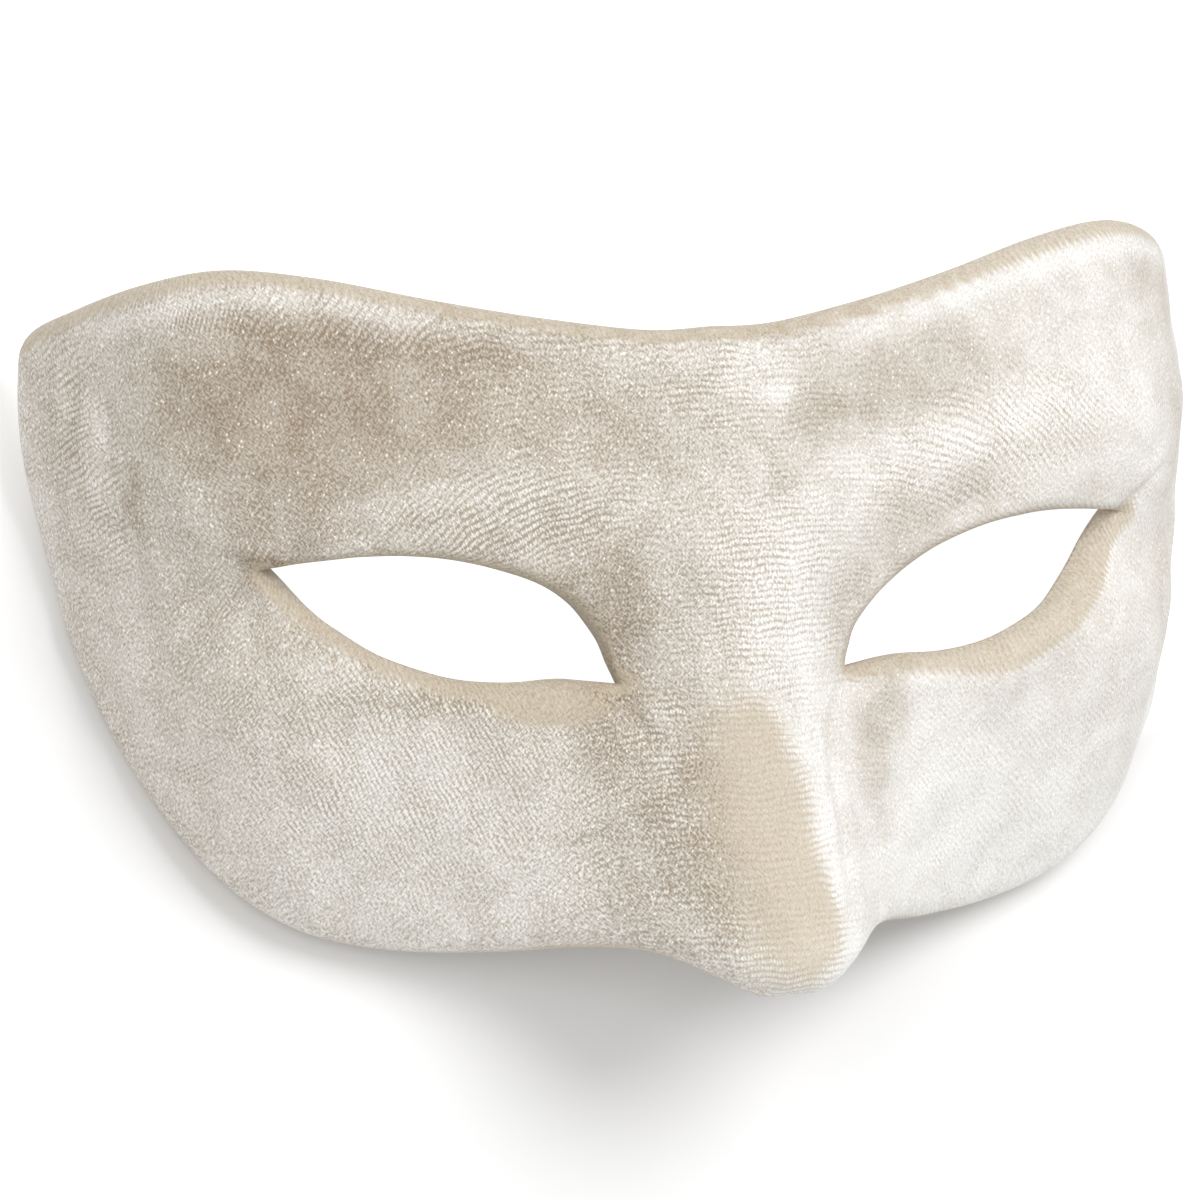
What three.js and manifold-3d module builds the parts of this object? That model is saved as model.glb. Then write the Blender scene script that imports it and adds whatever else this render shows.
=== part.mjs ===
// A half mask for a masquerade: one moulded shell that covers the brow, the upper cheeks and the nose,
// with two almond eye holes. The shell is wrapped in stretch velvet, so its edges are soft and thick.
// It lies face up on its two temple edges. Z is up, Y runs to the brow and X to the viewer's right.
import * as THREE from 'three';
import { mergeVertices } from 'three/addons/utils/BufferGeometryUtils.js';
import Module from 'manifold-3d';

// Driving dimensions, in millimetres and degrees
const SHELL_THICKNESS = 5; // shell, padding and the velvet on both faces
const FRONT_RADIUS = 196; // the wide, flat curve across brow and cheeks
const TEMPLE_TURN = 39.6; // how far the shell turns back at each temple
const TEMPLE_ARC = 70.9; // distance of that turn from the midline, along the surface
const TEMPLE_SPREAD = 14; // half the length over which it turns
const BROW_LEAN = 0.274; // the brow leans back by this much for each millimetre up
const CHEEK_SWEEP = 0.0055; // how fast the cheeks fall back below the eyes
const CHEEK_NARROWING = 0.00035; // share of the width lost for each millimetre down, to a power
const CHEEK_NARROWING_POWER = 1.5;
const BROW_WIDENING = 0.0017; // share of the width gained for each millimetre up
const WIDTH_LEVEL = 7.4; // above and below this level the width changes
const BEND_SOFTNESS = 12; // length over which the brow's lean and widening set in
const NOSE_HEIGHT = 29.1;
const NOSE_TIP = 50.2; // distance of the nose tip below the eye line
const NOSE_SLOPE_POWER = 2.18; // the ridge is a hollow curve, not a straight one
const NOSE_UNDERCUT = 4.5; // how sharply the tip turns under
const NOSE_UNDERCUT_START = 0.93; // share of the way to the tip where it begins to
const NOSE_HALF_WIDTH_TOP = 8.4;
const NOSE_HALF_WIDTH_TIP = 22.2;
const NOSE_ROUNDNESS = 2.1; // 2 is a bell, more is flatter on the ridge
const REST_TILT = 19; // the lower temple edges lie flat on the table at this tilt
const REST_FLAT = 0.7; // depth of the flat that the temple edges have worn or been pressed to
const LOWER_LID_ROLL = 4.6; // width of the rounding at each edge
const UPPER_LID_ROLL = 2.4;
const RIM_ROLL = 4.2;
const BACK_ROLL = 1.2;
const ROLL_DEPTH = 0.96; // depth of a rounding against its width
const BACK_ROLL_DEPTH = 0.55;
const LID_ROLL_OUTER = 0.12; // shares of the lower lid over which its roll grows and fades
const LID_ROLL_INNER = 0.15;

// Soft hollows and swellings of the face: arc and height of the middle, reach both ways, depth inward
const OUTER_CORNER_HOLLOW = { arc: 64.3, height: -4.6, reachArc: 14.9, reachHeight: 8.4, depth: 4.4 };
const INNER_CORNER_HOLLOW = { arc: 17.4, height: -11.5, reachArc: 8.4, reachHeight: 11.2, depth: 3.6 };
const UPPER_LID_HOLLOW = { arc: 35.3, height: 0.9, reachArc: 11.2, reachHeight: 7.4, depth: 1.3 };
const BROW_ROLL = { height: 15, reach: 10.2, from: 13, to: 32, depth: 1.9 };

// The outline of one half on the flat pattern: distance from the midline and height over the eye line
const BROW_EDGE = [
  [0, 31.4], [9, 31.4], [22, 33.5], [37, 36.6], [52, 40.1], [64, 41.4], [76, 39.3], [91, 35], [101, 31.2],
];
const TEMPLE_EDGE = [
  [104, 25], [105.2, 14], [105.8, 3], [103, -8.4], [97.8, -19.6], [91.8, -28.8], [84.2, -37.5],
];
const CHEEK_EDGE = [[74, -45.9], [63, -51.6], [50, -54.3], [37, -54.2], [26, -52.4]];
const NOSE_EDGE = [[19, -52.8], [12, -56.6], [5.5, -60], [0, -60]];
const UPPER_LID = [
  [17.4, -16.1], [18.1, -13.8], [19.3, -10.4], [22.9, -5.8], [28.5, -1.9], [36.4, 0.7], [44.2, 2], [52.7, 2],
  [66.9, 0.3],
];
const LOWER_LID = [
  [66.9, 0.3], [61.5, -4.3], [56.3, -7.5], [49.8, -11.5], [41.4, -15], [33, -16.1], [24, -15.5],
  [17.4, -16.1],
];

// How finely the shell is divided
const STEPS_MIDLINE = 8;
const UPPER_LID_SPLIT = 0.3; // share of the upper lid that faces the midline
const LOWER_LID_SPLIT = 0.7; // share of the lower lid that faces the rim
const RIM_SPLIT = 0.47; // share of the rim above the outer corner
const STEPS_RIM = 22;
const RINGS_FRONT = 14;
const RINGS_BACK = 8;
const STEPS_ROLL = 3;
const SECTION_STEP = 0.5;
const SECTION_LENGTH = 130;
const PROBE = 0.4; // distance over which slopes are measured at the outer face
const PROBE_GROWTH = 0.6; // and how much wider it gets with depth, so that the inside stays soft

const smoothStep = (value) => {
  const t = THREE.MathUtils.clamp(value, 0, 1);
  return t * t * (3 - 2 * t);
};

const softRamp = (value) => (value + Math.hypot(value, BEND_SOFTNESS)) / 2;

// Level section through the head form, walked along its arc from the midline to the temple
function headSection() {
  const stations = [{ across: 0, depth: 0, heading: 0 }];
  for (let arc = SECTION_STEP; arc <= SECTION_LENGTH; arc += SECTION_STEP) {
    const turned = smoothStep((arc - TEMPLE_ARC + TEMPLE_SPREAD) / (2 * TEMPLE_SPREAD));
    const heading = arc / FRONT_RADIUS + THREE.MathUtils.degToRad(TEMPLE_TURN) * turned;
    const last = stations[stations.length - 1];
    const middle = (heading + last.heading) / 2;
    stations.push({
      across: last.across + Math.cos(middle) * SECTION_STEP,
      depth: last.depth + Math.sin(middle) * SECTION_STEP,
      heading,
    });
  }
  return stations;
}

const section = headSection();

function sectionAt(arc) {
  const place = Math.min(arc / SECTION_STEP, section.length - 1.001);
  const index = Math.floor(place);
  const part = place - index;
  const from = section[index];
  const to = section[index + 1];
  return {
    across: THREE.MathUtils.lerp(from.across, to.across, part),
    depth: THREE.MathUtils.lerp(from.depth, to.depth, part),
    heading: THREE.MathUtils.lerp(from.heading, to.heading, part),
  };
}

const softSpot = (spot, arc, height) => {
  const along = (arc - spot.arc) / spot.reachArc;
  const up = (height - spot.height) / spot.reachHeight;
  return spot.depth * Math.exp(-(along ** 2) - up ** 2);
};

// Rise of the nose over the cheeks
function noseRise(arc, height) {
  const down = Math.max(-height, 0) / NOSE_TIP;
  const under = Math.max(down - NOSE_UNDERCUT_START, 0);
  const ridge = NOSE_HEIGHT * down ** NOSE_SLOPE_POWER * (1 - NOSE_UNDERCUT * under * under);
  const halfWidth = THREE.MathUtils.lerp(NOSE_HALF_WIDTH_TOP, NOSE_HALF_WIDTH_TIP, down);
  return ridge * Math.exp(-Math.LN2 * (arc / halfWidth) ** NOSE_ROUNDNESS);
}

// Point of the outer face for a place on the flat pattern
function facePoint(arc, height) {
  const side = Math.abs(arc);
  const { across, depth, heading } = sectionAt(side);
  const narrowing = CHEEK_NARROWING * Math.max(-height - WIDTH_LEVEL, 0) ** CHEEK_NARROWING_POWER;
  const widening = BROW_WIDENING * softRamp(height - WIDTH_LEVEL);
  const lean = -BROW_LEAN * softRamp(height) - CHEEK_SWEEP * Math.max(-height, 0) ** 2;
  const brow = BROW_ROLL.depth * Math.exp(-(((height - BROW_ROLL.height) / BROW_ROLL.reach) ** 2))
    * smoothStep((side - BROW_ROLL.from) / (BROW_ROLL.to - BROW_ROLL.from));
  const hollow = softSpot(OUTER_CORNER_HOLLOW, side, height) + softSpot(INNER_CORNER_HOLLOW, side, height)
    + softSpot(UPPER_LID_HOLLOW, side, height);
  const out = brow - hollow;
  return new THREE.Vector3(
    Math.sign(arc) * (across * (1 - narrowing + widening) + out * Math.sin(heading)),
    height,
    lean - depth + noseRise(side, height) + out * Math.cos(heading),
  );
}

// Point of the shell under a place on the pattern, a depth below the outer face
function shellPoint(arc, height, depth) {
  const point = facePoint(arc, height);
  const reach = PROBE + PROBE_GROWTH * depth;
  const along = facePoint(arc + reach, height).sub(facePoint(arc - reach, height));
  const up = facePoint(arc, height + reach).sub(facePoint(arc, height - reach));
  const normal = along.cross(up).normalize();
  point.addScaledVector(normal, -depth);
  if (arc === 0) point.x = 0;
  return point;
}

const spline = (points) => new THREE.SplineCurve(points.map(([x, y]) => new THREE.Vector2(x, y)));

// Curve cut in two lengths, each evenly divided, so that a point falls where they meet
function dividedCurve(curve, share, first, second) {
  const points = [];
  for (let i = 0; i < first; i += 1) points.push(curve.getPointAt((share * i) / first));
  for (let i = 0; i < second; i += 1) points.push(curve.getPointAt(share + ((1 - share) * i) / second));
  return points;
}

// Unit vectors square to a run of points, to the left of its direction
function sideways(points, closed) {
  const count = points.length;
  return points.map((_, i) => {
    const before = closed ? points[(i + count - 1) % count] : points[Math.max(i - 1, 0)];
    const after = closed ? points[(i + 1) % count] : points[Math.min(i + 1, count - 1)];
    const run = after.clone().sub(before).normalize();
    return new THREE.Vector2(-run.y, run.x);
  });
}

// Section of a soft edge: a front roll, a short wall and a small back roll, as inset and depth
function edgeSection(roll) {
  const stations = [];
  for (let i = 0; i <= STEPS_ROLL; i += 1) {
    const angle = (Math.PI / 2) * (i / STEPS_ROLL);
    stations.push([roll * (1 - Math.sin(angle)), roll * (1 - Math.cos(angle)) * ROLL_DEPTH]);
  }
  stations.push([0, SHELL_THICKNESS - BACK_ROLL * BACK_ROLL_DEPTH]);
  stations.push([BACK_ROLL, SHELL_THICKNESS]);
  return stations;
}

// The right half: rings run from the eye hole to the rim and the midline, round the edges and back
function halfShell() {
  const upper = spline(UPPER_LID);
  const lower = spline(LOWER_LID);
  const around = STEPS_MIDLINE + STEPS_RIM;
  const eye = [
    ...dividedCurve(upper, UPPER_LID_SPLIT, STEPS_MIDLINE, STEPS_RIM),
    ...dividedCurve(lower, LOWER_LID_SPLIT, STEPS_RIM, STEPS_MIDLINE),
  ];
  const eyeSide = sideways(eye, true);
  const eyeRoll = eye.map((_, i) => {
    const down = (i - around) / around;
    const onLower = smoothStep(down / LID_ROLL_OUTER) * smoothStep((1 - down) / LID_ROLL_INNER);
    return THREE.MathUtils.lerp(UPPER_LID_ROLL, LOWER_LID_ROLL, onLower);
  });

  const rimCurve = spline([...BROW_EDGE, ...TEMPLE_EDGE, ...CHEEK_EDGE, ...NOSE_EDGE]);
  const rim = [...dividedCurve(rimCurve, RIM_SPLIT, STEPS_RIM, STEPS_RIM), rimCurve.getPointAt(1)];
  const rimSide = sideways(rim, false).map((side) => side.negate());
  rimSide[0].set(0, -1);
  rimSide[rim.length - 1].set(0, 1);
  const rimAt = (i, inset) => rim[i].clone().addScaledVector(rimSide[i], inset);
  const midlineAt = (part, inset) => {
    const top = rimAt(0, inset).y;
    const bottom = rimAt(rim.length - 1, inset).y;
    return new THREE.Vector2(0, THREE.MathUtils.lerp(top, bottom, part));
  };

  // Outer ring in the order of the eye ring: up the midline, along the rim, up the midline again
  const outerAt = (i, inset) => {
    if (i < STEPS_MIDLINE) return midlineAt(0.5 * (1 - i / STEPS_MIDLINE), inset);
    if (i <= STEPS_MIDLINE + 2 * STEPS_RIM) return rimAt(i - STEPS_MIDLINE, inset);
    return midlineAt(1 - 0.5 * ((i - STEPS_MIDLINE - 2 * STEPS_RIM) / STEPS_MIDLINE), inset);
  };
  const eyeAt = (i, inset) => eye[i].clone().addScaledVector(eyeSide[i], inset);

  const count = eye.length;
  const rings = [];
  const addRing = (place) => rings.push(Array.from({ length: count }, (_, i) => place(i)));
  const eyeEdges = eyeRoll.map((roll) => edgeSection(roll));
  const rimEdge = edgeSection(RIM_ROLL);
  const stations = rimEdge.length;
  const between = (i, part, eyeInset, rimInset, depth) => {
    const place = eyeAt(i, eyeInset).lerp(outerAt(i, rimInset), part);
    return shellPoint(place.x < 1e-6 ? 0 : place.x, place.y, depth);
  };

  // Front face outward, rim edge, back face inward, and the eye's edge closes the round
  for (let r = 0; r <= RINGS_FRONT; r += 1) {
    addRing((i) => between(i, r / RINGS_FRONT, eyeRoll[i], RIM_ROLL, 0));
  }
  for (let s = 1; s < stations - 1; s += 1) {
    addRing((i) => between(i, 1, 0, rimEdge[s][0], rimEdge[s][1]));
  }
  for (let r = 0; r <= RINGS_BACK; r += 1) {
    addRing((i) => between(i, 1 - r / RINGS_BACK, BACK_ROLL, BACK_ROLL, SHELL_THICKNESS));
  }
  for (let s = stations - 2; s > 0; s -= 1) {
    addRing((i) => between(i, 0, eyeEdges[i][s][0], 0, eyeEdges[i][s][1]));
  }
  return { rings, count, rimStart: RINGS_FRONT, rimEnd: RINGS_FRONT + stations - 1 };
}

// Both halves as triangles facing out; on the midline the rim's edge rings have no face of their own
function shellGeometry() {
  const { rings, count, rimStart, rimEnd } = halfShell();
  const positions = [];
  const triangle = (a, b, c, mirrored) => {
    const corners = mirrored ? [a, c, b] : [a, b, c];
    for (const corner of corners) positions.push(mirrored ? -corner.x : corner.x, corner.y, corner.z);
  };
  for (const mirrored of [false, true]) {
    for (let r = 0; r < rings.length; r += 1) {
      const inner = rings[r];
      const outer = rings[(r + 1) % rings.length];
      const onRimEdge = r >= rimStart && r < rimEnd;
      for (let i = 0; i < count; i += 1) {
        const next = (i + 1) % count;
        const onMidline = i < STEPS_MIDLINE || i >= STEPS_MIDLINE + 2 * STEPS_RIM;
        if (onRimEdge && onMidline) continue;
        if (inner[i].distanceTo(outer[next]) < inner[next].distanceTo(outer[i])) {
          triangle(inner[i], inner[next], outer[next], mirrored);
          triangle(inner[i], outer[next], outer[i], mirrored);
        } else {
          triangle(inner[i], inner[next], outer[i], mirrored);
          triangle(inner[next], outer[next], outer[i], mirrored);
        }
      }
    }
  }
  const geometry = new THREE.BufferGeometry();
  geometry.setAttribute('position', new THREE.Float32BufferAttribute(positions, 3));
  return mergeVertices(geometry, 1e-3);
}

// Closed meshes to solids and back, for the one cut that the shell needs
const wasm = await Module();
wasm.setup();

function toSolid(geometry) {
  const bare = geometry.clone();
  bare.deleteAttribute('normal');
  bare.deleteAttribute('uv');
  const merged = mergeVertices(bare, 1e-3);
  return new wasm.Manifold(new wasm.Mesh({
    numProp: 3,
    vertProperties: new Float32Array(merged.attributes.position.array),
    triVerts: new Uint32Array(merged.index.array),
  }));
}

function toGeometry(solid) {
  const { vertProperties, triVerts } = solid.getMesh();
  const geometry = new THREE.BufferGeometry();
  geometry.setAttribute('position', new THREE.BufferAttribute(vertProperties, 3));
  geometry.setIndex(new THREE.BufferAttribute(triVerts, 1));
  geometry.computeVertexNormals();
  return geometry;
}

// Lay the shell down, centre it over its footprint and press the small flats it rests on
function layDown(geometry) {
  geometry.rotateX(THREE.MathUtils.degToRad(REST_TILT));
  geometry.computeBoundingBox();
  const box = geometry.boundingBox;
  const size = box.getSize(new THREE.Vector3());
  const centre = box.getCenter(new THREE.Vector3());
  geometry.translate(-centre.x, -centre.y, -box.min.z - REST_FLAT);
  const below = new THREE.BoxGeometry(size.x * 1.2, size.y * 1.2, 10);
  below.translate(0, 0, -5);
  return toGeometry(toSolid(geometry).subtract(toSolid(below)));
}

const velvet = new THREE.MeshStandardMaterial({ color: 0xd9cebf, roughness: 0.6, metalness: 0 });
const mask = new THREE.Mesh(layDown(shellGeometry()), velvet);
mask.name = 'velvet_mask_shell';

const group = new THREE.Group();
group.add(mask);

export default group;
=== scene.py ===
# A masquerade mask lying face up on a pale table.
import math

import bpy
import numpy as np
from mathutils import Matrix, Vector


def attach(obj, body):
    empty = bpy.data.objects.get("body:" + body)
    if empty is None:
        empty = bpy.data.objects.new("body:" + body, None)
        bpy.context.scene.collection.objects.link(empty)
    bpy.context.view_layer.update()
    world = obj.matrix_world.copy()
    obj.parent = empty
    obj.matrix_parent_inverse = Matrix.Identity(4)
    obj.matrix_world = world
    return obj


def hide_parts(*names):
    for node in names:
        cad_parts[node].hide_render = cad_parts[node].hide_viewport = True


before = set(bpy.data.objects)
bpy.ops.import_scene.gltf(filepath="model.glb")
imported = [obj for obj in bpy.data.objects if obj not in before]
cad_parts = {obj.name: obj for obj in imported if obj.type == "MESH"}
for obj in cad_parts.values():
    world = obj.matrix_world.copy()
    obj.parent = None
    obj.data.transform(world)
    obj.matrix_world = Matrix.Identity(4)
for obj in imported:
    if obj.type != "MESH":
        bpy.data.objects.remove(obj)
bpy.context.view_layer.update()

# The mask is a half-face shell pressed from board or felt, padded a little and wrapped in stretch
# velvet. The velvet is glued down all round and turned over every edge, so the edges are soft rolls.
# Its form is drawn on a flat pattern: arc is the way round from the midline, height is over the eye line.
SHELL_THICKNESS = 5.0
FRONT_RADIUS = 196.0
TEMPLE_TURN = math.radians(39.6)
TEMPLE_ARC = 70.9
TEMPLE_SPREAD = 14.0
BROW_LEAN = 0.274
BROW_ROLL_LEVEL = 15
BROW_ROLL_REACH = 10.2
BROW_ROLL_FROM = 13
BROW_ROLL_SPREAD = 19
BROW_ROLL_RISE = 1.9
CHEEK_SWEEP = 0.0055
CHEEK_NARROWING = 0.00035
CHEEK_NARROWING_POWER = 1.5
BROW_WIDENING = 0.0017
WIDTH_LEVEL = 7.4
BEND_SOFTNESS = 12.0
NOSE_HEIGHT = 29.1
NOSE_TIP = 50.2
NOSE_SLOPE_POWER = 2.18
NOSE_UNDERCUT = 4.5
NOSE_UNDERCUT_START = 0.93
NOSE_HALF_WIDTH_TOP = 8.4
NOSE_HALF_WIDTH_TIP = 22.2
NOSE_ROUNDNESS = 2.1
REST_TILT = math.radians(19.0)
REST_FLAT = 0.7
LOWER_LID_ROLL = 4.6
UPPER_LID_ROLL = 2.4
RIM_ROLL = 4.2
BACK_ROLL = 1.2
ROLL_DEPTH = 0.96
BACK_ROLL_DEPTH = 0.55
BACK_ROLL_ANGLES = (0.4, 0.8, 1.2)
LID_ROLL_OUTER = 0.12
LID_ROLL_INNER = 0.15

# Soft hollows of the face: arc, height, reach along, reach up, depth
HOLLOWS = [(64.3, -4.6, 14.9, 8.4, 4.4), (17.4, -11.5, 8.4, 11.2, 3.6), (35.3, 0.9, 11.2, 7.4, 1.3)]

# The outline of one half on the pattern: the rim from the brow's middle round to the nose, and the lids
BROW_EDGE = [(0, 31.4), (9, 31.4), (22, 33.5), (37, 36.6), (52, 40.1), (64, 41.4), (76, 39.3), (91, 35),
             (101, 31.2)]
TEMPLE_EDGE = [(104, 25), (105.2, 14), (105.8, 3), (103, -8.4), (97.8, -19.6), (91.8, -28.8), (84.2, -37.5)]
CHEEK_EDGE = [(74, -45.9), (63, -51.6), (50, -54.3), (37, -54.2), (26, -52.4)]
NOSE_EDGE = [(19, -52.8), (12, -56.6), (5.5, -60), (0, -60)]
UPPER_LID = [(17.4, -16.1), (18.1, -13.8), (19.3, -10.4), (22.9, -5.8), (28.5, -1.9), (36.4, 0.7), (44.2, 2),
             (52.7, 2), (66.9, 0.3)]
LOWER_LID = [(66.9, 0.3), (61.5, -4.3), (56.3, -7.5), (49.8, -11.5), (41.4, -15), (33, -16.1), (24, -15.5),
             (17.4, -16.1)]

# How finely the mesh is divided, and at which shares of the lids and the rim its columns meet
MIDLINE_STEPS = 32
RIM_STEPS = 92
FRONT_RINGS = 76
BACK_RINGS = 26
ROLL_STEPS = 9
WALL_STEPS = 4
UPPER_LID_SPLIT = 0.3
LOWER_LID_SPLIT = 0.7
RIM_SPLIT = 0.47
SECTION_STEP = 0.25
SECTION_LENGTH = 130.0
SPLINE_SAMPLES = 3001
FAN_PASSES = 4


def smooth_step(value):
    t = np.clip(value, 0, 1)
    return t * t * (3 - 2 * t)


def soft_ramp(value):
    return (value + np.hypot(value, BEND_SOFTNESS)) / 2


# Level section through the head form, walked from the midline to the temple
walk = np.arange(0, SECTION_LENGTH + SECTION_STEP / 2, SECTION_STEP)
turned = smooth_step((walk - TEMPLE_ARC + TEMPLE_SPREAD) / (2 * TEMPLE_SPREAD))
walk_heading = walk / FRONT_RADIUS + TEMPLE_TURN * turned
middle_heading = (walk_heading[1:] + walk_heading[:-1]) / 2
walk_across = np.concatenate([[0], np.cumsum(np.cos(middle_heading) * SECTION_STEP)])
walk_depth = np.concatenate([[0], np.cumsum(np.sin(middle_heading) * SECTION_STEP)])


def face_point(arc, height):
    side = np.abs(arc)
    across = np.interp(side, walk, walk_across)
    depth = np.interp(side, walk, walk_depth)
    heading = np.interp(side, walk, walk_heading)
    narrowing = CHEEK_NARROWING * np.clip(-height - WIDTH_LEVEL, 0, None) ** CHEEK_NARROWING_POWER
    widening = BROW_WIDENING * soft_ramp(height - WIDTH_LEVEL)
    lean = -BROW_LEAN * soft_ramp(height) - CHEEK_SWEEP * np.clip(-height, 0, None) ** 2
    brow = np.exp(-(((height - BROW_ROLL_LEVEL) / BROW_ROLL_REACH) ** 2))
    out = BROW_ROLL_RISE * brow * smooth_step((side - BROW_ROLL_FROM) / BROW_ROLL_SPREAD)
    for spot_arc, spot_height, reach_arc, reach_height, sink in HOLLOWS:
        along = (side - spot_arc) / reach_arc
        upward = (height - spot_height) / reach_height
        out = out - sink * np.exp(-(along**2) - upward**2)
    down = np.clip(-height, 0, None) / NOSE_TIP
    under = np.clip(down - NOSE_UNDERCUT_START, 0, None)
    ridge = NOSE_HEIGHT * down**NOSE_SLOPE_POWER * (1 - NOSE_UNDERCUT * under * under)
    half_width = NOSE_HALF_WIDTH_TOP + (NOSE_HALF_WIDTH_TIP - NOSE_HALF_WIDTH_TOP) * down
    rise = ridge * np.exp(-math.log(2) * (side / half_width) ** NOSE_ROUNDNESS)
    x = np.sign(arc) * (across * (1 - narrowing + widening) + out * np.sin(heading))
    z = lean - depth + rise + out * np.cos(heading)
    return np.stack([x, height + 0 * x, z], -1)


def face_normal(arc, height, reach):
    along = face_point(arc + reach, height) - face_point(arc - reach, height)
    up = face_point(arc, height + reach) - face_point(arc, height - reach)
    normal = np.cross(along, up)
    return normal / np.linalg.norm(normal, axis=-1, keepdims=True)


def shell_point(arc, height, depth):
    point = face_point(arc, height) - face_normal(arc, height, 0.4 + 0.6 * depth) * depth[..., None]
    point[..., 0] = np.where(arc == 0, 0, point[..., 0])
    return point


def spline_points(points, shares):
    knots = np.array(points, float)
    spans = len(knots) - 1

    def at(u):
        place = np.clip(u, 0, 1) * spans
        index = np.minimum(np.floor(place).astype(int), spans - 1)
        w = (place - index)[:, None]
        before = knots[np.maximum(index - 1, 0)]
        start = knots[index]
        end = knots[index + 1]
        after = knots[np.minimum(index + 2, spans)]
        leave = (end - before) / 2
        arrive = (after - start) / 2
        return ((2 * start - 2 * end + leave + arrive) * w**3
                + (3 * end - 3 * start - 2 * leave - arrive) * w**2 + leave * w + start)

    fine = np.linspace(0, 1, SPLINE_SAMPLES)
    run = np.hypot(*np.diff(at(fine), axis=0).T)
    length = np.concatenate([[0], np.cumsum(run)])
    return at(np.interp(shares, length / length[-1], fine))


def sideways(points, closed):
    if closed:
        run = np.roll(points, -1, 0) - np.roll(points, 1, 0)
    else:
        run = np.gradient(points, axis=0)
    run = run / np.linalg.norm(run, axis=1, keepdims=True)
    return np.stack([-run[:, 1], run[:, 0]], -1)


around = MIDLINE_STEPS + RIM_STEPS
columns = 2 * around
first = np.arange(MIDLINE_STEPS) / MIDLINE_STEPS
second = np.arange(RIM_STEPS) / RIM_STEPS
eye = np.concatenate([
    spline_points(UPPER_LID, np.concatenate([UPPER_LID_SPLIT * first,
                                             UPPER_LID_SPLIT + (1 - UPPER_LID_SPLIT) * second])),
    spline_points(LOWER_LID, np.concatenate([LOWER_LID_SPLIT * second,
                                             LOWER_LID_SPLIT + (1 - LOWER_LID_SPLIT) * first])),
])
eye_side = sideways(eye, True)
# At each eye corner the columns fan out evenly, so that the roll turns the corner without a crease
for _ in range(FAN_PASSES):
    eye_side = np.roll(eye_side, 1, 0) + eye_side + np.roll(eye_side, -1, 0)
    eye_side = eye_side / np.linalg.norm(eye_side, axis=1, keepdims=True)
lower_share = (np.arange(columns) - around) / around
on_lower = smooth_step(lower_share / LID_ROLL_OUTER) * smooth_step((1 - lower_share) / LID_ROLL_INNER)
eye_roll = UPPER_LID_ROLL + (LOWER_LID_ROLL - UPPER_LID_ROLL) * on_lower
rim_line = BROW_EDGE + TEMPLE_EDGE + CHEEK_EDGE + NOSE_EDGE
lower_rim = RIM_SPLIT + (1 - RIM_SPLIT) * np.arange(RIM_STEPS + 1) / RIM_STEPS
rim = spline_points(rim_line, np.concatenate([RIM_SPLIT * second, lower_rim]))
rim_side = -sideways(rim, False)
rim_side[0] = (0, -1)
rim_side[-1] = (0, 1)


def ring_point(part, eye_inset, rim_inset, depth):
    inner = eye + eye_side * np.reshape(eye_inset, (-1, 1))
    edge = rim + rim_side * rim_inset
    top, bottom = edge[0, 1], edge[-1, 1]
    rising = top + (bottom - top) * 0.5 * (1 - np.arange(MIDLINE_STEPS) / MIDLINE_STEPS)
    falling = top + (bottom - top) * (1 - 0.5 * np.arange(1, MIDLINE_STEPS) / MIDLINE_STEPS)
    outer = np.concatenate([
        np.stack([0 * rising, rising], -1),
        edge,
        np.stack([0 * falling, falling], -1),
    ])
    place = inner * (1 - part) + outer * part
    place[:, 0] = np.where(place[:, 0] < 1e-6, 0, place[:, 0])
    return np.column_stack([place, np.broadcast_to(depth, columns)])


# Rings run over the front from eye to rim, round the rim, over the back and out through the eye
turn = np.linspace(0, math.pi / 2, ROLL_STEPS + 1)
roll_inset = 1 - np.sin(turn)
roll_depth = (1 - np.cos(turn)) * ROLL_DEPTH


def edge_stations(roll):
    wall_end = SHELL_THICKNESS - BACK_ROLL * BACK_ROLL_DEPTH
    level = 0 * roll
    front = [(roll * inset, roll * depth) for inset, depth in zip(roll_inset, roll_depth)]
    wall = [(level, roll * ROLL_DEPTH + (wall_end - roll * ROLL_DEPTH) * step / WALL_STEPS)
            for step in range(1, WALL_STEPS + 1)]
    back = [(level + BACK_ROLL * (1 - math.cos(angle)),
             level + wall_end + BACK_ROLL * BACK_ROLL_DEPTH * math.sin(angle))
            for angle in BACK_ROLL_ANGLES]
    return front + wall + back


rim_stations = edge_stations(np.array(RIM_ROLL))
eye_stations = edge_stations(eye_roll)
rings = [ring_point(r / FRONT_RINGS, eye_roll, RIM_ROLL, 0.0) for r in range(FRONT_RINGS + 1)]
rings += [ring_point(1, 0.0, inset, depth) for inset, depth in rim_stations[1:]]
rings += [ring_point(1 - r / BACK_RINGS, BACK_ROLL, BACK_ROLL, SHELL_THICKNESS)
          for r in range(BACK_RINGS + 1)]
rings += [ring_point(0, inset, 0.0, depth) for inset, depth in reversed(eye_stations[1:])]
pattern = np.array(rings)
rim_start = FRONT_RINGS
rim_end = FRONT_RINGS + len(rim_stations)

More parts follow.
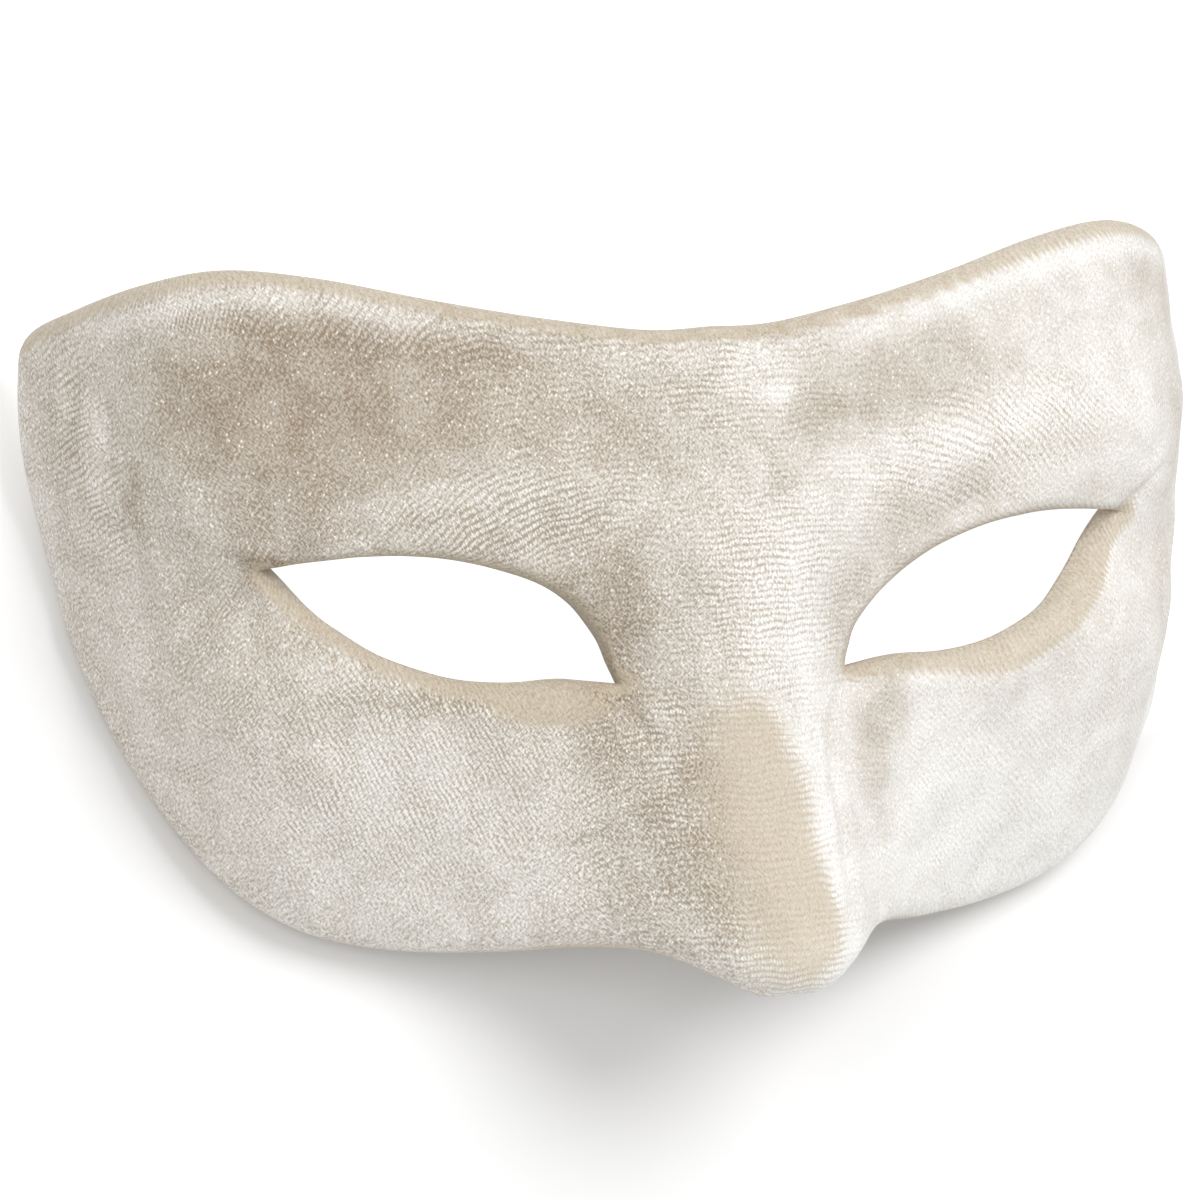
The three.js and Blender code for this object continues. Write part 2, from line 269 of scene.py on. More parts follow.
points = shell_point(pattern[..., 0], pattern[..., 1], pattern[..., 2])
ring_count = len(pattern)
index = np.arange(ring_count * columns).reshape(ring_count, columns)
following = np.roll(index, -1, 0)
quads = []
for r in range(ring_count):
    keep = np.ones(columns, bool)
    if rim_start <= r < rim_end:
        keep[:MIDLINE_STEPS] = False
        keep[MIDLINE_STEPS + 2 * RIM_STEPS:] = False
    a, b = index[r], np.roll(index[r], -1)
    c, d = np.roll(following[r], -1), following[r]
    quads.append(np.stack([a, b, c, d], -1)[keep])
quads = np.concatenate(quads)
right = points.reshape(-1, 3)
left = right * (-1, 1, 1)
cloth_right = pattern.reshape(-1, 3)
cloth_left = cloth_right * (-1, 1, 1)
outward_right = face_normal(cloth_right[:, 0], cloth_right[:, 1], 0.6)
corners = np.concatenate([right, left])
cloth = np.concatenate([cloth_right, cloth_left])
outward = np.concatenate([outward_right, outward_right * (-1, 1, 1)])
faces = np.concatenate([quads, quads[:, ::-1] + len(right)])

# Vertices that both halves share on the midline become one
_, kept, where = np.unique(np.round(corners, 4), axis=0, return_index=True, return_inverse=True)
corners = corners[kept]
cloth = cloth[kept]
outward = outward[kept]
faces = where.reshape(-1)[faces]
arc, height, depth = cloth.T


def line_distance(line, across, up):
    away = np.full(len(arc), 1e9)
    for start, end in zip(line[:-1], line[1:]):
        run = end - start
        share = np.clip(((across - start[0]) * run[0] + (up - start[1]) * run[1]) / (run @ run), 0, 1)
        away = np.minimum(away, np.hypot(across - start[0] - share * run[0], up - start[1] - share * run[1]))
    return away


side = np.abs(arc)
rim_away = line_distance(spline_points(rim_line, np.linspace(0, 1, 90)), side, height)

# The glued cloth isn't quite even: a few folds and dents where it is pulled round the corners, each
# from one place on the pattern to another, with its half width and its height or depth
CLOTH_FOLDS = [
    (66, 1.5, 71.5, 6.5, 1.0, -0.55), (66, 4.5, 72, 9, 1.6, 0.35), (-66, 0.8, -73, 3.0, 0.8, -0.35),
    (-67, -0.8, -73, -2.5, 0.9, 0.25), (-66, 2.8, -71, 5, 0.9, 0.25), (-85, 21, -86.5, 6, 1.6, -0.45),
    (-88.5, 22, -89.5, 8, 1.8, 0.35), (-99, 11, -88, 8.5, 1.0, 0.25), (-98, 8, -86, 5.5, 0.9, -0.28),
    (-96, 4.5, -85, 3, 0.9, 0.22), (-18.5, -17.5, -14.5, -24, 1.0, -0.45),
    (-21, -18.5, -18, -25, 1.0, 0.30), (-16, -17, -12.5, -23, 0.9, 0.28), (15, -18.5, 12, -24, 1.0, -0.40),
    (18.5, -18.5, 15.5, -24, 1.0, 0.28), (11.8, -25, 11.6, -47, 0.8, -0.30),
    (9.7, -26, 9.6, -46, 0.8, 0.22), (13.6, -27, 14.2, -45, 0.8, 0.22), (-7, -14, -6, -20, 1.5, 0.18),
    (-84, 30, -85, 22, 1.5, -0.25),
]
UNEVENNESS = 0.08
WAVE_COUNT = 9
WAVE_SEED = 11
SHORTEST_WAVE = 7
LONGEST_WAVE = 17
EVEN_RIM = 8
RELIEF_DEPTH = 2.5
waves = np.random.default_rng(WAVE_SEED)
relief = np.zeros(len(cloth))
for _ in range(WAVE_COUNT):
    course = waves.uniform(0, math.pi)
    length = waves.uniform(SHORTEST_WAVE, LONGEST_WAVE)
    start = waves.uniform(0, 2 * math.pi)
    place = (arc * math.cos(course) + height * math.sin(course)) * 2 * math.pi / length
    relief += UNEVENNESS * np.sin(place + start)
relief *= smooth_step(rim_away / EVEN_RIM)
for start_arc, start_height, end_arc, end_height, half_width, rise in CLOTH_FOLDS:
    run_arc, run_height = end_arc - start_arc, end_height - start_height
    along = (arc - start_arc) * run_arc + (height - start_height) * run_height
    share = np.clip(along / (run_arc**2 + run_height**2), 0, 1)
    away = np.hypot(arc - start_arc - share * run_arc, height - start_height - share * run_height)
    relief += rise * np.exp(-((away / half_width) ** 2)) * smooth_step(1.15 - np.abs(share - 0.5))
relief *= 1 - smooth_step(depth / RELIEF_DEPTH)

# The shell is laid down on its two temple edges, which press flat where they meet the table
cos_tilt, sin_tilt = math.cos(REST_TILT), math.sin(REST_TILT)
laid = np.stack([corners[:, 0], corners[:, 1] * cos_tilt - corners[:, 2] * sin_tilt,
                 corners[:, 1] * sin_tilt + corners[:, 2] * cos_tilt], -1)
low, high = laid.min(0), laid.max(0)
settle = np.array([-(low[0] + high[0]) / 2, -(low[1] + high[1]) / 2, -low[2] - REST_FLAT])
laid += settle + np.stack([outward[:, 0], outward[:, 1] * cos_tilt - outward[:, 2] * sin_tilt,
                           outward[:, 1] * sin_tilt + outward[:, 2] * cos_tilt], -1) * relief[:, None]
laid[:, 2] = np.maximum(laid[:, 2], 0)

METRES_PER_MM = 0.001
mask_mesh = bpy.data.meshes.new("velvet_mask")
mask_mesh.from_pydata((laid * METRES_PER_MM).tolist(), [], faces.tolist())
mask_mesh.update()
mask_mesh.shade_smooth()
mask = bpy.data.objects.new("velvet_mask", mask_mesh)
bpy.context.scene.collection.objects.link(mask)

# Painted light and shade on the pile, partly the crushed pile's own patchiness: patches with a positive
# amount are painted sheen and highlights where the crushed pile catches the light, and those with a negative
# amount are painted shade, among them the tucks at the inner eye corners and the nose's left flank. Each
# gives arc, height, reach along, reach up, slope in degrees, and how much lighter or darker the velvet is
# painted there
PAINTED_LIGHT_PATCHES = [
    (-57, 22.5, 24, 12, 0, -0.28), (-46, 32, 28, 4, -8, -0.10), (-24, 20, 15, 7, -6, -0.15),
    (-62, 7, 9, 7, 0, -0.13), (-96, 20, 4.5, 7, 0, -0.04), (-83.2, 11.5, 2.4, 6, -10, -0.20),
    (-89, 17, 1.8, 9, -8, 0.14), (-86.5, 19.5, 1.2, 6, -8, 0.15), (-93, 23, 1.4, 5, -10, 0.13),
    (-84, 14, 1.0, 3.5, -8, 0.12), (-34, 5, 16, 5, 0, -0.06), (-38, 10.5, 12, 2, 4, 0.10),
    (-21, -9, 7, 14, 0, -0.20), (-19, -18, 6, 4, 0, -0.08), (-66, 1, 4, 2.5, 0, -0.28),
    (-20, -36, 7, 13, 0, -0.15), (-9.5, -34, 4, 15, 0, -0.20), (-16, -47, 8, 6, 0, -0.06),
    (-46, -42, 32, 20, 0, 0.17), (-88, -20, 18, 18, 0, 0.05), (-73, -4, 12, 14, 0, -0.08),
    (-32, -17, 14, 4, -3, -0.14), (5, 21, 12, 8, 0, -0.12), (4.5, 24, 6, 4.5, 0, 0.20),
    (7.5, 21.5, 2, 1.6, 0, 0.20), (11, 30, 8, 4, 0, -0.12), (16, 17, 10, 3.5, 8, -0.12),
    (-8, 14, 6, 3, 0, -0.08), (3, 11.5, 1.6, 3, 0, 0.12), (6.5, 10, 2.6, 2.4, 0, -0.16),
    (18, 33, 18, 3, 8, -0.16), (-14, 31, 18, 3, 0, -0.10), (27, 23, 16, 6, 8, -0.26),
    (26, 1, 6, 8, 25, -0.24), (7, 12, 8, 5, 0, -0.12), (38, 5, 9, 3, 12, -0.10), (17, -8, 5, 9, 0, -0.20),
    (22, -16, 6, 3, 0, -0.25), (22, -23, 5, 4.5, 0, -0.24), (19.5, -30, 3.5, 6, 0, -0.26),
    (22, -38, 3, 3, 0, -0.14), (42, -42, 34, 17, 0, 0.17), (33, -27, 8, 9, 0, 0.06),
    (8.5, -28, 2.4, 16, 0, 0.12), (5, -10, 7, 9, 0, 0.08), (36, 9, 9, 4, 12, -0.07),
    (38, 15.5, 20, 3.2, 14, 0.02), (73, 26, 6, 16, 0, -0.10), (80, -28, 5, 14, 0, 0.12),
    (-104, 10, 5, 22, 0, 0.12), (5, -54, 10, 4, 0, 0.10), (60, 5, 9, 3, 0, -0.08),
    (-60, 25, 16, 14, 0, -0.04), (60, 27, 10, 12, 0, 0.03), (0, -55, 24, 4, 0, 0.10),
    (80, 5, 5.5, 40, 0, -0.12), (66, 8, 7, 26, 0, 0.05), (80, -30, 4, 6, 0, 0.12), (67, 35, 6, 5, 0, -0.10),
    (4, -52, 8, 4, 0, 0.20), (-44, -16, 9, 3.5, -10, -0.10), (-15, -6, 4.5, 10, 0, -0.09),
    (-62, -1, 5, 4, 0, 0.06), (34, 26, 44, 11, 8, -0.05), (6, 26, 9, 6, 0, -0.07),
    (40, 8, 22, 4, 12, -0.05), (-19, -20, 6, 8, 0, -0.07), (-1, -16, 6, 40, 0, -0.03),
    (82, -29, 4, 8, 0, 0.12), (18, -38, 6, 10, 0, -0.05), (65, -51, 14, 5, 0, 0.06),
    (-22, -19.5, 5, 2.5, 0, 0.12), (-34, 29, 8, 4.5, -4, -0.11), (-91, 19, 6, 8, 0, -0.08),
    (-50, -24, 10, 5, 0, 0.11), (-15.5, -34, 2, 12, 2, -0.09),
]
# Where the knit shows through the pile as clear rows
CLEAR_ROWS = [
    (6, -4, 13, 15, 0, 0.55), (9, -34, 5, 18, 0, 0.05), (-12, -28, 5, 12, 0, 0.30),
    (38, 13, 24, 8, 12, 0.45), (-32, 7, 17, 6, 4, 0.60), (-91, 14, 6, 16, 0, 0.45),
    (42, -34, 20, 14, 0, 0.20), (-48, -26, 22, 17, 0, 0.45), (4, 22, 14, 8, 0, 0.35),
    (-2, -50, 12, 6, 0, 0.30), (-50, 33, 34, 3.5, -6, 0.35),
]
# How strongly single tufts and stitches stand out
STRONG_TUFTS = [
    (-18, -38, 14, 18, 0, 0.25), (38, 13, 24, 8, 12, 0.40), (-57, 22.5, 24, 12, 0, -0.35),
    (4, -4, 13, 14, 0, 0.25), (0, 27, 20, 6, 0, 0.15), (-32, 7, 17, 6, 4, 0.20),
    (-48, -30, 30, 20, 0, 0.15),
]
# Where the pile is pressed flat: along the nose, under the left eye and over the rolled edges
NOSE_PRESS = [(-1.8, -24), (-1.4, -36), (0.4, -49)]
LEFT_LID_PRESS = (-28, -18.5, 12, 4.2, -4)
LEFT_LID_PRESS_AMOUNT = 0.66
PRESS_MIDDLE = 0.52
PRESS_SOFTNESS = 8
BROW_PRESS_WIDTH = 2.3
CHEEK_PRESS_WIDTH = 0.9
UPPER_LID_PRESS_WIDTH = 0.8

# The ground under the patches: the right half is painted lighter, painted light on the side the light falls
# on, and the left half is darker and shows its fibres more than the right
LEFT_TONE = 0.56
RIGHT_PAINTED_LIGHT_GAIN = 0.25
BACK_TONE = 0.42
GROUND_CLEARNESS = 0.12
LEFT_STRENGTH = 1.10
RIGHT_STRENGTH_LOSS = 0.42
BACK_DEPTH = 3.6
FRINGE_AWAY = 4.2
FRINGE_SPREAD = 1.5
FRINGE_GAIN = 0.20


def patch_share(patch_arc, patch_height, reach_arc, reach_height, slope):
    slope = math.radians(slope)
    along = (arc - patch_arc) * math.cos(slope) + (height - patch_height) * math.sin(slope)
    across = (height - patch_height) * math.cos(slope) - (arc - patch_arc) * math.sin(slope)
    return np.exp(-((((along / reach_arc) ** 2) + (across / reach_height) ** 2) ** 2))


on_back = smooth_step(depth - BACK_DEPTH)
# The tone is the pile's own tone with painted light and painted shade laid on it
tone_and_painted_light = LEFT_TONE + RIGHT_PAINTED_LIGHT_GAIN * smooth_step((arc + 12) / 20)
clear = np.full(len(arc), GROUND_CLEARNESS)
for *patch, amount in PAINTED_LIGHT_PATCHES:
    tone_and_painted_light += amount * patch_share(*patch)
for *patch, amount in CLEAR_ROWS:
    clear += amount * patch_share(*patch)
strong = LEFT_STRENGTH - RIGHT_STRENGTH_LOSS * smooth_step((arc + 4) / 20)
for *patch, amount in STRONG_TUFTS:
    strong += amount * patch_share(*patch)
line_shares = np.linspace(0, 1, 40)
brow_away = line_distance(spline_points(BROW_EDGE, line_shares), side, height)
fringe = np.exp(-(((brow_away - FRINGE_AWAY) / FRINGE_SPREAD) ** 2))
fringe *= 0.35 + 0.65 * smooth_step((side - 25) / 20)
tone_and_painted_light += FRINGE_GAIN * fringe * smooth_step((90 - side) / 10)
tone_and_painted_light += (BACK_TONE - tone_and_painted_light) * on_back

pressed = np.zeros(len(arc))
lid_width = 1.9 + 2.4 * smooth_step((arc - 28) / 20) * smooth_step((67 - arc) / 8)
temple_width = 0.8 + 1.6 * smooth_step(arc / 20)
pressed_edges = (
    (BROW_EDGE, BROW_PRESS_WIDTH),
    (TEMPLE_EDGE, temple_width),
    (CHEEK_EDGE + NOSE_EDGE, CHEEK_PRESS_WIDTH),
    (LOWER_LID, lid_width),
    (UPPER_LID, UPPER_LID_PRESS_WIDTH),
)
for line, width in pressed_edges:
    away = line_distance(spline_points(line, line_shares), side, height)
    pressed = np.maximum(pressed, PRESS_MIDDLE + (width - away) / PRESS_SOFTNESS)
pressed = np.maximum(pressed, smooth_step(depth / 3) * (1 - on_back))
pressed = np.maximum(pressed, LEFT_LID_PRESS_AMOUNT * patch_share(*LEFT_LID_PRESS))
nose_away = line_distance(np.array(NOSE_PRESS, float), arc, height)
nose_width = 5.0 + 2.2 * smooth_step((-22 - height) / 10)
nose_softness = 24 + 14 * smooth_step(-arc / 4)
pressed = np.maximum(pressed, PRESS_MIDDLE + (nose_width - nose_away) / nose_softness)

# The knit's rows run level over the nose and turn down towards both temples; its columns cross them
ROW_PITCH = 0.88
STEEP_ROW_PITCH = 0.70
STITCH_PITCH = 0.42
ROW_SLOPE = 1.05
REACH_STEP = 0.5
REACH_END = 121
LEVER_REACH = 18
STEEP_LEAN = 0.5
STEEP_PATCH = (-50, -27, 26, 22, 0)
reach = np.arange(0, REACH_END, REACH_STEP)
slopes = ROW_SLOPE * smooth_step((reach - 13) / 30) * (1 - 0.5 * smooth_step((reach - 60) / 25))
slope = np.interp(side, reach, slopes)
fall = np.cumsum(slopes) * REACH_STEP
steep = 0.75 + 0.25 * smooth_step((height + 50) / 80)
drop = np.interp(side, reach, fall) * steep
slope = slope * steep
rows = (height + drop - depth) / np.hypot(1, slope)
lever = LEVER_REACH * np.tanh((height - depth) / LEVER_REACH)
columns_across = arc * np.hypot(1, 0.5 * slope) - np.sign(arc) * 0.75 * slope * lever / np.hypot(1, slope)
crossed = patch_share(*STEEP_PATCH)
leaning = (arc + STEEP_LEAN * height) / math.hypot(1, STEEP_LEAN)
knit = np.stack([columns_across, rows, leaning], -1)
shades = {"tone_and_painted_light": tone_and_painted_light, "clear_rows": clear, "pressed": pressed, "crossed": crossed, "strong": strong}
for name, values in shades.items():
    layer = mask_mesh.attributes.new(name, "FLOAT", "POINT")
    layer.data.foreach_set("value", values.astype(np.float32))
for name, values in (("cloth", cloth), ("knit", knit)):
    layer = mask_mesh.attributes.new(name, "FLOAT_VECTOR", "POINT")
    layer.data.foreach_set("vector", values.astype(np.float32).ravel())

velvet = bpy.data.materials.new("crushed_velvet")
velvet.use_nodes = True
tree = velvet.node_tree
pile = tree.nodes["Principled BSDF"]


# Adds a node to the tree in hand, with its sockets named or, as i0, i1 and so on, numbered
def wired(kind, output, settings=None, **sockets):
    step = tree.nodes.new(kind)
    for name, value in (settings or {}).items():
        setattr(step, name, value)
    for name, value in sockets.items():
        numbered = name[0] == "i" and name[1:].isdigit()
        socket = step.inputs[int(name[1:]) if numbered else name.replace("_", " ")]
        if isinstance(value, bpy.types.NodeSocket):
            tree.links.new(value, socket)
        else:
            socket.default_value = value
    return step.outputs[output]


def maths(operation, *values):
    sockets = {f"i{place}": value for place, value in enumerate(values)}
    return wired("ShaderNodeMath", 0, {"operation": operation}, **sockets)


def ramp(value, low, high, top=1.0):
    return wired("ShaderNodeMapRange", "Result", {"interpolation_type": "SMOOTHSTEP"}, Value=value,
                 From_Min=low, From_Max=high, To_Max=top)


def mixed(share, low_color, high_color):
    return wired("ShaderNodeMix", "Result", {"data_type": "RGBA"}, Factor=share, A=low_color, B=high_color)


def noise(place, scale, detail, distortion=0.0, stretch=(1, 1, 1), turn=0.0):
    turned_place = wired("ShaderNodeMapping", "Vector", Vector=place, Rotation=(0, 0, turn))
    stretched = wired("ShaderNodeMapping", "Vector", Vector=turned_place, Scale=stretch)
    return wired("ShaderNodeTexNoise", "Fac", Vector=stretched, Scale=scale, Detail=detail,
                 Distortion=distortion)


def layer_value(name, output="Fac"):
    return wired("ShaderNodeAttribute", output, {"attribute_name": name})


cloth_place = layer_value("cloth", "Vector")
knit_place = layer_value("knit", "Vector")
tone_and_painted_light_value = layer_value("tone_and_painted_light")
clear_value = layer_value("clear_rows")
pressed_value = layer_value("pressed")
crossed_value = layer_value("crossed")
strong_value = layer_value("strong")

# Rows of stitches, each a short bright dash across its row. Where the cloth is crossed, the rows stand steep
STITCH_IRREGULARITY = 0.45
ROW_PHASE = 0.225
ROW_WANDER = 1.6
GAP_SHADE = 0.50
wander = maths("MULTIPLY_ADD", noise(cloth_place, 0.2, 0.5), ROW_WANDER, -ROW_WANDER / 2)
knit_parts = tree.nodes.new("ShaderNodeSeparateXYZ")
tree.links.new(knit_place, knit_parts.inputs["Vector"])
across = knit_parts.outputs["X"]
up = maths("ADD", knit_parts.outputs["Y"], wander)
up_steep = maths("ADD", knit_parts.outputs["Z"], wander)
level_rows = wired("ShaderNodeCombineXYZ", "Vector", X=maths("MULTIPLY", across, 1 / STITCH_PITCH),
                   Y=maths("MULTIPLY", up, 1 / ROW_PITCH))
steep_rows = wired("ShaderNodeCombineXYZ", "Vector", X=maths("MULTIPLY", up, 1 / STITCH_PITCH),
                   Y=maths("MULTIPLY", up_steep, 1 / STEEP_ROW_PITCH))
switch = maths("GREATER_THAN", maths("ADD", crossed_value, maths("MULTIPLY", wander, 0.4)), 0.5)
knit_cells = wired("ShaderNodeMix", "Result", {"data_type": "VECTOR"}, Factor=switch,
                   A=level_rows, B=steep_rows)
stitches = tree.nodes.new("ShaderNodeTexVoronoi")
stitches.voronoi_dimensions = "2D"
stitches.inputs["Scale"].default_value = 1.0
stitches.inputs["Randomness"].default_value = STITCH_IRREGULARITY
tree.links.new(knit_cells, stitches.inputs["Vector"])
stitch_light = wired("ShaderNodeSeparateColor", "Red", Color=stitches.outputs["Color"])
stitch_shine = maths("MULTIPLY_ADD", stitch_light, 0.7, 0.2)
dash = ramp(stitches.outputs["Distance"], 0.62, 0.18)
cell_parts = tree.nodes.new("ShaderNodeSeparateXYZ")
tree.links.new(knit_cells, cell_parts.inputs["Vector"])
row_place = maths("MULTIPLY_ADD", cell_parts.outputs["Y"], 2 * math.pi, -ROW_PHASE * 2 * math.pi)
gap = maths("POWER", maths("MULTIPLY_ADD", maths("COSINE", row_place), -0.5, 0.5), 2.0)
dash_light = maths("MULTIPLY", maths("SUBTRACT", dash, 0.25), stitch_shine)
stitch_shade = maths("MULTIPLY_ADD", gap, -GAP_SHADE, dash_light)

# Crushed fibres lie in short crossed strokes, with painted glints, bright points painted where a tuft turns
# to the light
STROKE_SCALE = 1.75
STROKE_SHAPE = (1, 2.1, 1)
TUFT_SHAPE = (2.6, 1.5, 1.3)
strokes_rising = noise(cloth_place, STROKE_SCALE, 1.0, stretch=STROKE_SHAPE, turn=-0.95)
strokes_falling = noise(cloth_place, STROKE_SCALE, 1.0, stretch=STROKE_SHAPE, turn=0.85)
strokes = maths("SUBTRACT", maths("ADD", strokes_rising, strokes_falling), 1.0)
tuft_place = wired("ShaderNodeMapping", "Vector", Vector=cloth_place, Rotation=(0, 0, 0.5))
tuft_cells = wired("ShaderNodeMapping", "Vector", Vector=tuft_place, Scale=TUFT_SHAPE)
tufts = tree.nodes.new("ShaderNodeTexVoronoi")
tufts.inputs["Scale"].default_value = 1.0
tree.links.new(tuft_cells, tufts.inputs["Vector"])
tuft_light = wired("ShaderNodeSeparateColor", "Green", Color=tufts.outputs["Color"])
painted_tuft_glints = maths("MULTIPLY", ramp(tufts.outputs["Distance"], 0.42, 0.15), ramp(tuft_light, 0.82, 0.92))

# The pile's colour is painted between a shaded copy and a lit copy of the velvet, painted shade and painted
# light, by its tone and this texture
CRUSH_SHARE = 0.10
ROWS_SHARE = 0.85
PAINTED_GLINT_SHARE = 1.1
STROKES_SHARE = 1.3
TONE_SHARE = 0.65
SHADE_DEEP = (0.19, 0.125, 0.06, 1)
SHADE_PALE = (0.575, 0.52, 0.435, 1)
LIGHT_DEEP = (0.69, 0.63, 0.55, 1)
LIGHT_PALE = (0.955, 0.955, 0.95, 1)
crush = maths("SUBTRACT", ramp(noise(cloth_place, 0.2, 4.0, 0.6), 0.38, 0.62), 0.5)
broad_tone_and_painted_light = maths("MULTIPLY_ADD", crush, CRUSH_SHARE, tone_and_painted_light_value)
patchy = maths("MULTIPLY_ADD", noise(cloth_place, 0.28, 2.0), 1.6, -0.8)
clearness = wired("ShaderNodeClamp", "Result", Value=maths("ADD", clear_value, patchy))
rows_part = maths("MULTIPLY", maths("MULTIPLY", stitch_shade, clearness), ROWS_SHARE)
painted_glint_part = maths("MULTIPLY", maths("MULTIPLY", painted_tuft_glints, maths("SUBTRACT", 1.35, clearness)), PAINTED_GLINT_SHARE)
strokes_part = maths("MULTIPLY", strokes, STROKES_SHARE)
texture = maths("MULTIPLY", maths("ADD", maths("ADD", rows_part, strokes_part), painted_glint_part), strong_value)
lit = maths("ADD", maths("MULTIPLY_ADD", broad_tone_and_painted_light, TONE_SHARE, 0.05), texture)
in_shade = mixed(broad_tone_and_painted_light, SHADE_DEEP, SHADE_PALE)
in_light = mixed(broad_tone_and_painted_light, LIGHT_DEEP, LIGHT_PALE)
pile_color = mixed(lit, in_shade, in_light)

# Pressed cloth is smooth and beige, with faint rows of loops, and ends in a ragged line of stitches. Its
# beige goes lighter and darker with the same painted light and shade as the pile
PRESSED_DEEP = (0.41, 0.34, 0.245, 1)
PRESSED_PALE = (0.77, 0.70, 0.595, 1)
ragged = maths("ADD", pressed_value, maths("ADD", maths("MULTIPLY", strokes, 0.2),
                                           maths("MULTIPLY", stitch_shade, -0.10)))
pressed_share = ramp(ragged, 0.46, 0.58)
loops = maths("ADD", maths("MULTIPLY", stitch_shade, 0.16), maths("MULTIPLY", strokes, 0.7))
loops_lit = maths("ADD", loops, maths("MULTIPLY_ADD", broad_tone_and_painted_light, 0.5, 0.11))
pressed_color = mixed(loops_lit, PRESSED_DEEP, PRESSED_PALE)
cloth_color = mixed(pressed_share, pile_color, pressed_color)
tree.links.new(cloth_color, pile.inputs["Base Color"])

# Fibres and stitches stand up a little, and the velvet has a weak sheen
PILE_RELIEF = 0.00016
pile_height = maths("MULTIPLY_ADD", strokes, 2.0, maths("MULTIPLY", stitch_shade, 0.4))
bumped = wired("ShaderNodeBump", "Normal", Strength=0.5, Distance=PILE_RELIEF, Height=pile_height)
tree.links.new(bumped, pile.inputs["Normal"])
pile.inputs["Roughness"].default_value = 0.6
pile.inputs["Specular IOR Level"].default_value = 0.3
pile.inputs["Sheen Weight"].default_value = 0.15
pile.inputs["Sheen Roughness"].default_value = 0.4
mask_mesh.materials.append(velvet)

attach(mask, "root")
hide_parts("velvet_mask_shell")

# The table is a plain white sheet, no part of the object. The camera alone sees it glow a little
# where it shows through the eye holes and above the brow, so that it goes nearly white there.
TABLE_REACH = 2
EYE_GLOWS = [(-0.0275, 0.009), (0.0545, 0.009)]
EYE_GLOW_REACH = (0.036, 0.022)
EYE_GLOW_STRENGTH = 0.75
BROW_GLOW_END = 0.06
BROW_GLOW_STRENGTH = 0.35
table_mesh = bpy.data.meshes.new("table")
table_corners = [(-TABLE_REACH, -TABLE_REACH, 0), (TABLE_REACH, -TABLE_REACH, 0),
                 (TABLE_REACH, TABLE_REACH, 0), (-TABLE_REACH, TABLE_REACH, 0)]
table_mesh.from_pydata(table_corners, [], [(0, 1, 2, 3)])
table = bpy.data.objects.new("table", table_mesh)
bpy.context.scene.collection.objects.link(table)
white_sheet = bpy.data.materials.new("white_sheet")
white_sheet.use_nodes = True
tree = white_sheet.node_tree
sheet = tree.nodes["Principled BSDF"]
sheet.inputs["Base Color"].default_value = (0.86, 0.86, 0.86, 1)
sheet.inputs["Roughness"].default_value = 0.9
sheet.inputs["Specular IOR Level"].default_value = 0.0
sheet_place = wired("ShaderNodeTexCoord", "Object")
eye_glows = []
for glow_x, glow_y in EYE_GLOWS:
    offset = wired("ShaderNodeMapping", "Vector", Vector=sheet_place, Location=(-glow_x, -glow_y, 0))
    squeezed = wired("ShaderNodeMapping", "Vector", Vector=offset,
                     Scale=(1 / EYE_GLOW_REACH[0], 1 / EYE_GLOW_REACH[1], 1))
    span = wired("ShaderNodeVectorMath", "Value", {"operation": "LENGTH"}, i0=squeezed)
    eye_glows.append(ramp(span, 1.25, 0.95))
sheet_parts = tree.nodes.new("ShaderNodeSeparateXYZ")
tree.links.new(sheet_place, sheet_parts.inputs["Vector"])
brow_glow = ramp(sheet_parts.outputs["Y"], 0.0, BROW_GLOW_END, BROW_GLOW_STRENGTH)
glow = maths("MULTIPLY_ADD", maths("ADD", *eye_glows), EYE_GLOW_STRENGTH, brow_glow)
shown = maths("MULTIPLY", glow, wired("ShaderNodeLightPath", "Is Camera Ray"))
tree.links.new(shown, sheet.inputs["Emission Color"])
sheet.inputs["Emission Strength"].default_value = 1
table_mesh.materials.append(white_sheet)

# Studio light: a white room and two large soft lamps, the stronger over the right of the brow and the
# weaker over the left.
world = bpy.data.worlds.new("white_room")
bpy.context.scene.world = world
world.use_nodes = True
world.node_tree.nodes["Background"].inputs["Color"].default_value = (1, 1, 1, 1)
world.node_tree.nodes["Background"].inputs["Strength"].default_value = 0.63


def soft_lamp(name, place, size, watts, target):
    lamp = bpy.data.lights.new(name, "AREA")
    lamp.shape = "DISK"
    lamp.size = size
    lamp.energy = watts
    holder = bpy.data.objects.new(name, lamp)
    holder.location = place
    holder.rotation_euler = (Vector(target) - Vector(place)).to_track_quat("-Z", "Y").to_euler()
    bpy.context.scene.collection.objects.link(holder)


soft_lamp("key_lamp", (0.45, 0.35, 1.2), 0.8, 9.5, (0, 0, 0))
soft_lamp("fill_lamp", (-0.75, -0.1, 1.1), 0.8, 4.0, (0, 0, 0))


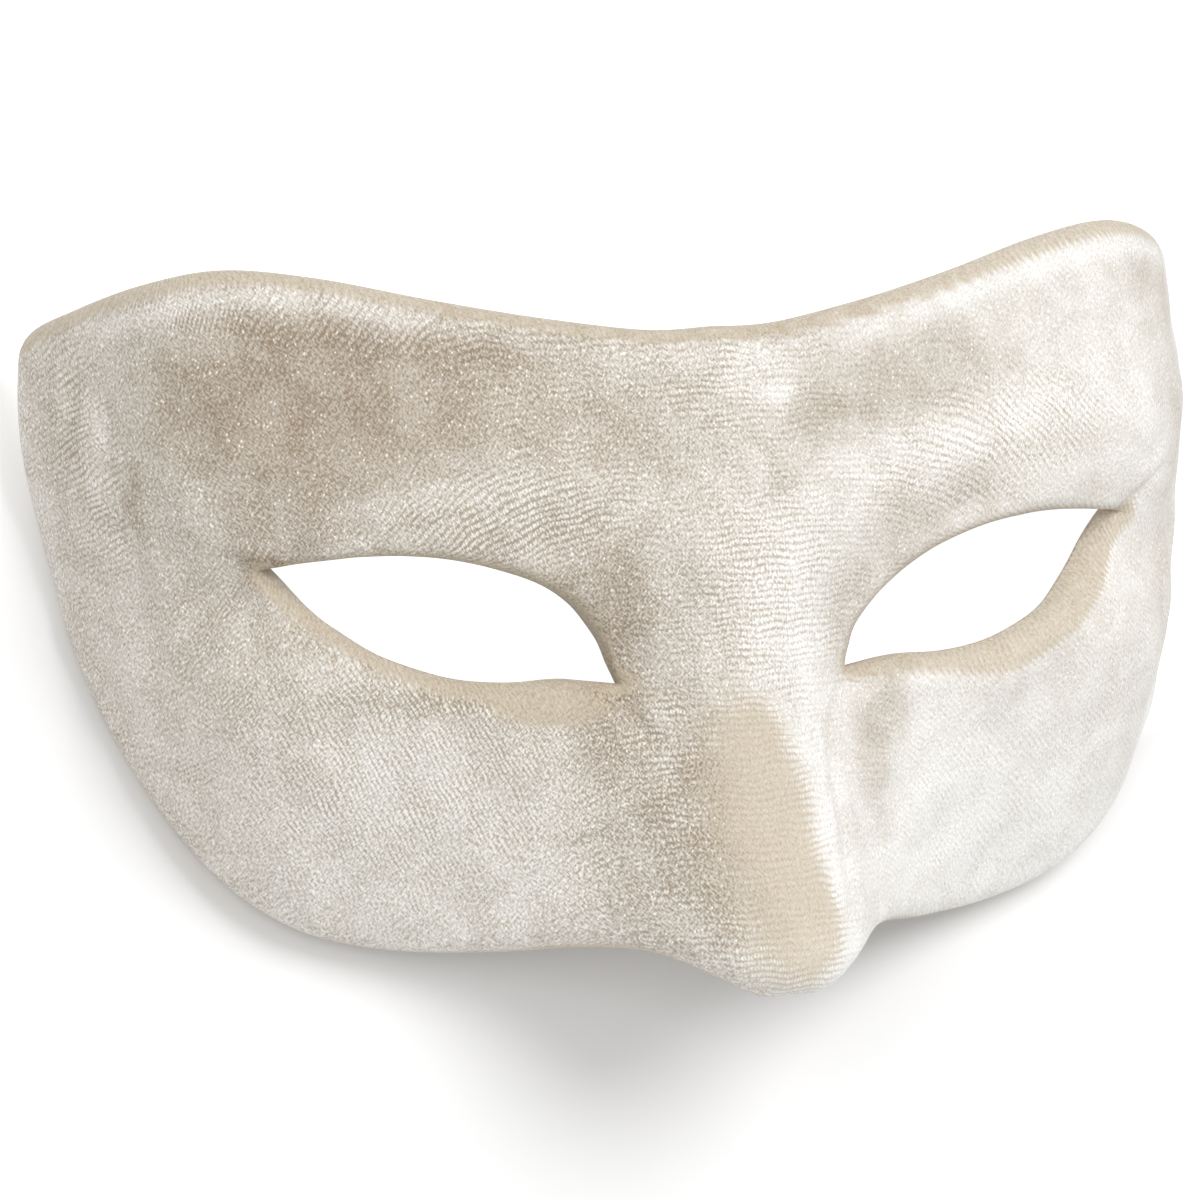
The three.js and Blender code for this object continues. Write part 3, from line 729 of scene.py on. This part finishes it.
# The camera looks down on the lying mask from the chin's side, a little to the left, from far off
# through a long lens. Its angles are stated for a mask held upright, and the rest tilt is added.
VIEW_TURN = math.radians(24.0)
VIEW_DROP = math.radians(6.3)
VIEW_ROLL = math.radians(1.215)
VIEW_DISTANCE = 1400.0
PIXELS_PER_MM = 7.44
PICTURE = 1200
SENSOR_WIDTH = 36
EYE_LINE_PIXEL = (750.4, 558.5)


def tilted(vector):
    x, y, z = vector
    return Vector((x, y * cos_tilt - z * sin_tilt, y * sin_tilt + z * cos_tilt))


level_right = Vector((math.cos(VIEW_TURN), 0, math.sin(VIEW_TURN)))
level_up = Vector((math.sin(VIEW_TURN) * math.sin(VIEW_DROP), math.cos(VIEW_DROP),
                   -math.cos(VIEW_TURN) * math.sin(VIEW_DROP)))
towards = tilted((-math.sin(VIEW_TURN) * math.cos(VIEW_DROP), math.sin(VIEW_DROP),
                  math.cos(VIEW_TURN) * math.cos(VIEW_DROP)))
picture_right = tilted(level_right * math.cos(VIEW_ROLL) - level_up * math.sin(VIEW_ROLL))
picture_up = tilted(level_right * math.sin(VIEW_ROLL) + level_up * math.cos(VIEW_ROLL))
eye_line = Vector(settle)
aim = (eye_line + picture_right * ((PICTURE / 2 - EYE_LINE_PIXEL[0]) / PIXELS_PER_MM)
       - picture_up * ((PICTURE / 2 - EYE_LINE_PIXEL[1]) / PIXELS_PER_MM))
stand = eye_line + towards * VIEW_DISTANCE
back = (stand - aim).normalized()
sideward = picture_up.cross(back).normalized()
upward = back.cross(sideward)
camera_data = bpy.data.cameras.new("camera")
camera_data.sensor_width = SENSOR_WIDTH
camera_data.lens = SENSOR_WIDTH * PIXELS_PER_MM * VIEW_DISTANCE / PICTURE
camera_data.clip_end = 20
camera = bpy.data.objects.new("camera", camera_data)
camera_turn = Matrix((sideward, upward, back)).transposed().to_4x4()
camera.matrix_world = Matrix.Translation(stand * METRES_PER_MM) @ camera_turn
bpy.context.scene.collection.objects.link(camera)
bpy.context.scene.camera = camera
bpy.context.scene.view_settings.view_transform = "Standard"
